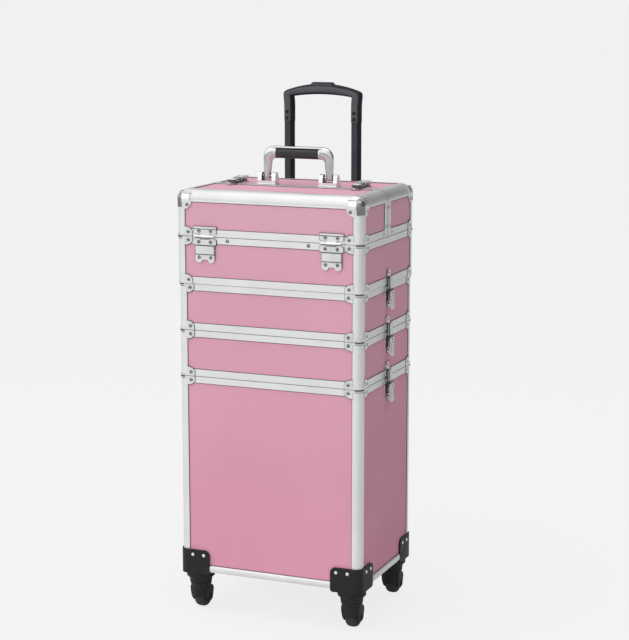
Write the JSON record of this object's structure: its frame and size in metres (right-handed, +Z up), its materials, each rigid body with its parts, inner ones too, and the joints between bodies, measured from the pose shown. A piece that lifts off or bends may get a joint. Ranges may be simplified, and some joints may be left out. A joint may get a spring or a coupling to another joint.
{
  "type": "rolling makeup case",
  "caption": "Tall rolling makeup case of stacking latched tiers with a split top lid, swivel casters, a fold-down carry handle and a telescoping trolley handle.",
  "frame": {"origin": "on the floor under the middle of the case", "axes": "+Z up, -Y towards the front face with the lid hinges, +X to the right seen from the front"},
  "size_m": [0.3592, 0.2913, 0.9265],
  "materials": {
    "panel": "pink embossed sheet on board, low sheen",
    "aluminium": "satin anodised extrusion",
    "nickel": "bright nickel plate",
    "chrome": "polished chrome plate",
    "black_plastic": "moulded black plastic, fine grain",
    "grip": "soft black grip",
    "trolley_tube": "black lacquered tube",
    "wheel_tread": "black wheel",
    "tray_plastic": "black moulded tray"
  },
  "bodies": {
    "base": {"base_panels": "panel", "base_frame": "aluminium", "base_fittings": "nickel", "caster_corner_mounts": "black_plastic", "trolley_outer_tubes": "trolley_tube", "trolley_brackets": "black_plastic"},
    "tray_3": {"tray_3_panels": "panel", "tray_3_frame": "aluminium", "tray_3_fittings": "nickel"},
    "tray_2": {"tray_2_panels": "panel", "tray_2_frame": "aluminium", "tray_2_fittings": "nickel"},
    "top_case": {"top_case_panels": "panel", "top_case_frame": "aluminium", "top_case_fittings": "nickel", "lid_hinge_body_leaves": "nickel", "rear_lid_panels": "panel", "rear_lid_frame": "aluminium", "rear_lid_fittings": "nickel", "handle_brackets": "chrome", "rear_tray": "tray_plastic"},
    "front_lid": {"front_lid_panels": "panel", "front_lid_frame": "aluminium", "front_lid_corner_caps": "chrome", "front_lid_hinge_leaves": "nickel", "front_lid_latch_catches": "nickel"},
    "front_tray": {"front_tray": "tray_plastic"},
    "front_tray_drive_arms": {"front_tray_drive_arms": "nickel"},
    "front_tray_guide_arms": {"front_tray_guide_arms": "nickel"},
    "carry_handle": {"carry_handle": "chrome", "carry_handle_grip": "grip"},
    "trolley_middle": {"trolley_middle_tubes": "trolley_tube"},
    "trolley_inner": {"trolley_inner_tubes": "trolley_tube", "trolley_grip": "black_plastic"},
    "trolley_button": {"trolley_button": "black_plastic"},
    "caster_fork_front_left": {"caster_fork_front_left": "black_plastic"},
    "caster_wheel_front_left": {"caster_wheel_front_left": "wheel_tread"},
    "caster_fork_front_right": {"caster_fork_front_right": "black_plastic"},
    "caster_wheel_front_right": {"caster_wheel_front_right": "wheel_tread"},
    "caster_fork_rear_left": {"caster_fork_rear_left": "black_plastic"},
    "caster_wheel_rear_left": {"caster_wheel_rear_left": "wheel_tread"},
    "caster_fork_rear_right": {"caster_fork_rear_right": "black_plastic"},
    "caster_wheel_rear_right": {"caster_wheel_rear_right": "wheel_tread"},
    "latch_lever_left_1": {"latch_lever_left_1": "nickel"},
    "latch_hook_left_1": {"latch_hook_left_1": "nickel"},
    "latch_lever_left_2": {"latch_lever_left_2": "nickel"},
    "latch_hook_left_2": {"latch_hook_left_2": "nickel"},
    "latch_lever_left_3": {"latch_lever_left_3": "nickel"},
    "latch_hook_left_3": {"latch_hook_left_3": "nickel"},
    "latch_lever_right_1": {"latch_lever_right_1": "nickel"},
    "latch_hook_right_1": {"latch_hook_right_1": "nickel"},
    "latch_lever_right_2": {"latch_lever_right_2": "nickel"},
    "latch_hook_right_2": {"latch_hook_right_2": "nickel"},
    "latch_lever_right_3": {"latch_lever_right_3": "nickel"},
    "latch_hook_right_3": {"latch_hook_right_3": "nickel"},
    "latch_lever_lid_left": {"latch_lever_lid_left": "nickel"},
    "latch_hook_lid_left": {"latch_hook_lid_left": "nickel"},
    "latch_lever_lid_right": {"latch_lever_lid_right": "nickel"},
    "latch_hook_lid_right": {"latch_hook_lid_right": "nickel"}
  },
  "joints": [
    {"name": "tray_3_lift", "type": "slide", "parent": "base", "child": "tray_3", "axis": [0, 0, 1], "range_m": [0, 0.12]},
    {"name": "tray_2_lift", "type": "slide", "parent": "tray_3", "child": "tray_2", "axis": [0, 0, 1], "range_m": [0, 0.12]},
    {"name": "top_case_lift", "type": "slide", "parent": "tray_2", "child": "top_case", "axis": [0, 0, 1], "range_m": [0, 0.12]},
    {"name": "front_lid_hinge", "type": "hinge", "parent": "top_case", "child": "front_lid", "pos_m": [0, -0.1295, 0.6745], "axis": [1, 0, 0], "range_deg": [0, 120]},
    {"name": "front_tray_drive", "type": "hinge", "parent": "top_case", "child": "front_tray_drive_arms", "pos_m": [0, -0.08243, 0.65557], "axis": [1, 0, 0], "range_deg": [0, 84]},
    {"name": "front_tray_guide", "type": "hinge", "parent": "top_case", "child": "front_tray_guide_arms", "pos_m": [0, -0.06243, 0.65557], "axis": [1, 0, 0], "range_deg": [0, 84]},
    {"name": "front_tray_level", "type": "hinge", "parent": "front_tray_drive_arms", "child": "front_tray", "pos_m": [0, -0.04, 0.698], "axis": [1, 0, 0], "range_deg": [-84, 0]},
    {"name": "carry_handle_fold", "type": "hinge", "parent": "top_case", "child": "carry_handle", "pos_m": [0, 0.008, 0.769], "axis": [-1, 0, 0], "range_deg": [-80, 80]},
    {"name": "trolley_middle_slide", "type": "slide", "parent": "base", "child": "trolley_middle", "axis": [0, 0, 1], "range_m": [-0.235, 0]},
    {"name": "trolley_inner_slide", "type": "slide", "parent": "trolley_middle", "child": "trolley_inner", "axis": [0, 0, 1], "range_m": [-0.21, 0]},
    {"name": "trolley_button_press", "type": "slide", "parent": "trolley_inner", "child": "trolley_button", "axis": [0, 0, -1], "range_m": [0, 0.003], "stiffness_N_per_m": 600},
    {"name": "caster_swivel_front_left", "type": "hinge", "parent": "base", "child": "caster_fork_front_left", "pos_m": [-0.145, -0.1, 0.055], "axis": [0, 0, 1], "continuous": true},
    {"name": "caster_roll_front_left", "type": "hinge", "parent": "caster_fork_front_left", "child": "caster_wheel_front_left", "pos_m": [-0.145, -0.091, 0.019], "axis": [1, 0, 0], "continuous": true},
    {"name": "caster_swivel_front_right", "type": "hinge", "parent": "base", "child": "caster_fork_front_right", "pos_m": [0.145, -0.1, 0.055], "axis": [0, 0, 1], "continuous": true},
    {"name": "caster_roll_front_right", "type": "hinge", "parent": "caster_fork_front_right", "child": "caster_wheel_front_right", "pos_m": [0.145, -0.091, 0.019], "axis": [1, 0, 0], "continuous": true},
    {"name": "caster_swivel_rear_left", "type": "hinge", "parent": "base", "child": "caster_fork_rear_left", "pos_m": [-0.145, 0.1, 0.055], "axis": [0, 0, 1], "continuous": true},
    {"name": "caster_roll_rear_left", "type": "hinge", "parent": "caster_fork_rear_left", "child": "caster_wheel_rear_left", "pos_m": [-0.145, 0.109, 0.019], "axis": [1, 0, 0], "continuous": true},
    {"name": "caster_swivel_rear_right", "type": "hinge", "parent": "base", "child": "caster_fork_rear_right", "pos_m": [0.145, 0.1, 0.055], "axis": [0, 0, 1], "continuous": true},
    {"name": "caster_roll_rear_right", "type": "hinge", "parent": "caster_fork_rear_right", "child": "caster_wheel_rear_right", "pos_m": [0.145, 0.109, 0.019], "axis": [1, 0, 0], "continuous": true},
    {"name": "latch_lever_left_1_pivot", "type": "hinge", "parent": "base", "child": "latch_lever_left_1", "pos_m": [-0.1748, 0, 0.4145], "axis": [0, 1, 0], "range_deg": [0, 100]},
    {"name": "latch_hook_left_1_pivot", "type": "hinge", "parent": "latch_lever_left_1", "child": "latch_hook_left_1", "pos_m": [-0.1748, 0, 0.3965], "axis": [0, 1, 0], "range_deg": [-100, 0]},
    {"name": "latch_lever_left_2_pivot", "type": "hinge", "parent": "tray_3", "child": "latch_lever_left_2", "pos_m": [-0.1748, 0, 0.496], "axis": [0, 1, 0], "range_deg": [0, 100]},
    {"name": "latch_hook_left_2_pivot", "type": "hinge", "parent": "latch_lever_left_2", "child": "latch_hook_left_2", "pos_m": [-0.1748, 0, 0.478], "axis": [0, 1, 0], "range_deg": [-100, 0]},
    {"name": "latch_lever_left_3_pivot", "type": "hinge", "parent": "tray_2", "child": "latch_lever_left_3", "pos_m": [-0.1748, 0, 0.5775], "axis": [0, 1, 0], "range_deg": [0, 100]},
    {"name": "latch_hook_left_3_pivot", "type": "hinge", "parent": "latch_lever_left_3", "child": "latch_hook_left_3", "pos_m": [-0.1748, 0, 0.5595], "axis": [0, 1, 0], "range_deg": [-100, 0]},
    {"name": "latch_lever_right_1_pivot", "type": "hinge", "parent": "base", "child": "latch_lever_right_1", "pos_m": [0.1748, 0, 0.4145], "axis": [0, -1, 0], "range_deg": [0, 100]},
    {"name": "latch_hook_right_1_pivot", "type": "hinge", "parent": "latch_lever_right_1", "child": "latch_hook_right_1", "pos_m": [0.1748, 0, 0.3965], "axis": [0, -1, 0], "range_deg": [-100, 0]},
    {"name": "latch_lever_right_2_pivot", "type": "hinge", "parent": "tray_3", "child": "latch_lever_right_2", "pos_m": [0.1748, 0, 0.496], "axis": [0, -1, 0], "range_deg": [0, 100]},
    {"name": "latch_hook_right_2_pivot", "type": "hinge", "parent": "latch_lever_right_2", "child": "latch_hook_right_2", "pos_m": [0.1748, 0, 0.478], "axis": [0, -1, 0], "range_deg": [-100, 0]},
    {"name": "latch_lever_right_3_pivot", "type": "hinge", "parent": "tray_2", "child": "latch_lever_right_3", "pos_m": [0.1748, 0, 0.5775], "axis": [0, -1, 0], "range_deg": [0, 100]},
    {"name": "latch_hook_right_3_pivot", "type": "hinge", "parent": "latch_lever_right_3", "child": "latch_hook_right_3", "pos_m": [0.1748, 0, 0.5595], "axis": [0, -1, 0], "range_deg": [-100, 0]},
    {"name": "latch_lever_lid_left_pivot", "type": "hinge", "parent": "top_case", "child": "latch_lever_lid_left", "pos_m": [-0.117, 0.009, 0.7593], "axis": [1, 0, 0], "range_deg": [0, 100]},
    {"name": "latch_hook_lid_left_pivot", "type": "hinge", "parent": "latch_lever_lid_left", "child": "latch_hook_lid_left", "pos_m": [-0.117, 0.027, 0.7593], "axis": [1, 0, 0], "range_deg": [-100, 0]},
    {"name": "latch_lever_lid_right_pivot", "type": "hinge", "parent": "top_case", "child": "latch_lever_lid_right", "pos_m": [0.117, 0.009, 0.7593], "axis": [1, 0, 0], "range_deg": [0, 100]},
    {"name": "latch_hook_lid_right_pivot", "type": "hinge", "parent": "latch_lever_lid_right", "child": "latch_hook_lid_right", "pos_m": [0.117, 0.027, 0.7593], "axis": [1, 0, 0], "range_deg": [-100, 0]}
  ],
  "couplings": [
    {"joint": "front_tray_drive", "follows": "front_lid_hinge", "ratio": 0.7},
    {"joint": "front_tray_guide", "follows": "front_lid_hinge", "ratio": 0.7},
    {"joint": "front_tray_level", "follows": "front_lid_hinge", "ratio": -0.7},
    {"joint": "latch_hook_left_1_pivot", "follows": "latch_lever_left_1_pivot", "ratio": -1},
    {"joint": "latch_hook_left_2_pivot", "follows": "latch_lever_left_2_pivot", "ratio": -1},
    {"joint": "latch_hook_left_3_pivot", "follows": "latch_lever_left_3_pivot", "ratio": -1},
    {"joint": "latch_hook_right_1_pivot", "follows": "latch_lever_right_1_pivot", "ratio": -1},
    {"joint": "latch_hook_right_2_pivot", "follows": "latch_lever_right_2_pivot", "ratio": -1},
    {"joint": "latch_hook_right_3_pivot", "follows": "latch_lever_right_3_pivot", "ratio": -1},
    {"joint": "latch_hook_lid_left_pivot", "follows": "latch_lever_lid_left_pivot", "ratio": -1},
    {"joint": "latch_hook_lid_right_pivot", "follows": "latch_lever_lid_right_pivot", "ratio": -1}
  ]
}
